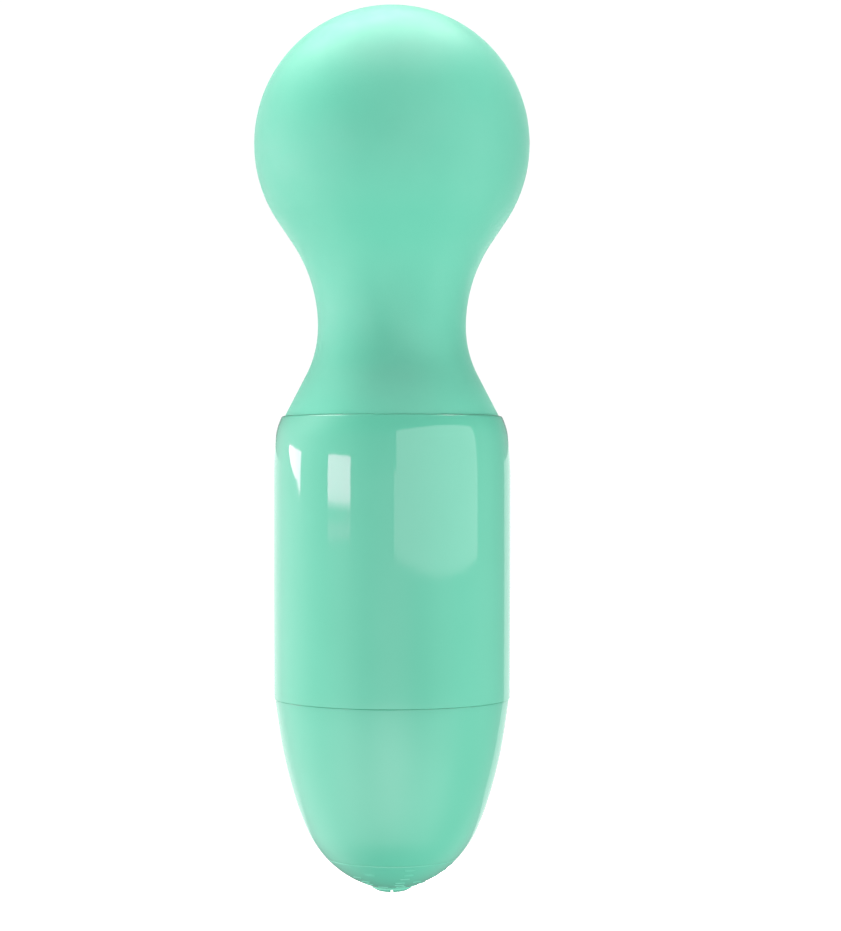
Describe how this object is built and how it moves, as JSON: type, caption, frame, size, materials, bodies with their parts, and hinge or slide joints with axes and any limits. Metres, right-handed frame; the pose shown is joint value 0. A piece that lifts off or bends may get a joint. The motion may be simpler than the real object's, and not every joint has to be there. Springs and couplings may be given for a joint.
{
  "type": "wand massager",
  "caption": "Small cordless wand massager: silicone ball head on a flexible neck, glossy sleeved handle, pull-off domed base with an end button, vibration motor inside.",
  "frame": {"origin": "on the long axis at the lowest point, the flat of the raised mark on the end button", "axes": "+Z along the handle towards the ball head, -Y towards the front (the side of the gap in the button's mark), +X to the right seen from the front"},
  "size_m": [0.0374, 0.0374, 0.12],
  "materials": {
    "mint_silicone": "matte, soft to the touch",
    "mint_gloss": "high gloss, moulded",
    "inner_plastic": "plain moulded, satin",
    "black_plastic": "fine texture",
    "steel": "plated",
    "nickel": "satin nickel plate",
    "copper": "wound enamelled copper on laminations",
    "brass": "turned",
    "ferrite": "sintered ferrite",
    "circuit_board": "solder-masked glass epoxy",
    "black_rubber": "moulded",
    "foil": "laminated foil pouch",
    "foam": "open-cell foam",
    "red_lead": "wire insulation",
    "black_lead": "wire insulation",
    "clear_plastic": "clear to milky moulding"
  },
  "bodies": {
    "handle": {"handle_sleeve": "mint_gloss", "chassis_front": "inner_plastic", "chassis_rear": "inner_plastic", "chassis_screw_1": "steel", "chassis_screw_2": "steel", "chassis_screw_3": "steel", "chassis_screw_4": "steel", "o_ring_seal": "black_rubber", "battery_cell": "foil", "battery_foam_pad": "foam", "battery_protection_board": "circuit_board", "battery_lead_positive": "red_lead", "battery_lead_negative": "black_lead", "main_board": "circuit_board", "microcontroller": "black_plastic", "motor_driver_chip": "black_plastic", "charge_controller_chip": "black_plastic", "battery_connector": "clear_plastic", "board_header": "black_plastic", "end_board": "circuit_board", "charge_socket": "nickel", "status_lamp": "clear_plastic", "tact_switch": "black_plastic"},
    "head": {"head_cover": "mint_silicone", "head_frame_front": "inner_plastic", "head_frame_rear": "inner_plastic", "head_screw_left": "steel", "head_screw_right": "steel", "motor_sleeve": "black_rubber", "motor_can": "nickel", "motor_end_cap": "black_plastic", "motor_bushing": "brass", "motor_magnet_left": "ferrite", "motor_magnet_right": "ferrite", "motor_terminal_left": "brass", "motor_terminal_right": "brass", "neck_spring": "steel", "motor_lead_positive": "red_lead", "motor_lead_negative": "black_lead"},
    "rotor": {"motor_shaft": "steel", "armature": "copper", "commutator": "brass", "eccentric_weight": "steel"},
    "base_cap": {"base_cap": "mint_gloss", "button_retainer": "inner_plastic", "button_seal": "black_rubber", "button_spring": "steel"},
    "power_button": {"power_button": "mint_gloss"},
    "switch_plunger": {"switch_plunger": "clear_plastic"}
  },
  "joints": [
    {"name": "neck_flex", "type": "hinge", "parent": "handle", "child": "head", "pos_m": [0, 0, 0.0765], "axis": [0, 1, 0], "range_deg": [-12, 12], "stiffness_Nm_per_rad": 1.2, "deforming": ["head_cover", "neck_spring", "motor_lead_positive", "motor_lead_negative"]},
    {"name": "rotor_spin", "type": "hinge", "parent": "head", "child": "rotor", "pos_m": [0, 0, 0.1], "axis": [0, 0, 1], "continuous": true},
    {"name": "base_cap_pull", "type": "slide", "parent": "handle", "child": "base_cap", "axis": [0, 0, -1], "range_m": [0, 0.008]},
    {"name": "power_button_press", "type": "slide", "parent": "base_cap", "child": "power_button", "axis": [0, 0, 1], "range_m": [0, 0.0006], "stiffness_N_per_m": 1500, "springref_m": -0.0006, "deforming": ["button_spring"]},
    {"name": "switch_plunger_travel", "type": "slide", "parent": "handle", "child": "switch_plunger", "axis": [0, 0, 1], "range_m": [0, 0.0006]}
  ],
  "couplings": [
    {"joint": "switch_plunger_travel", "follows": "power_button_press", "ratio": 1}
  ]
}
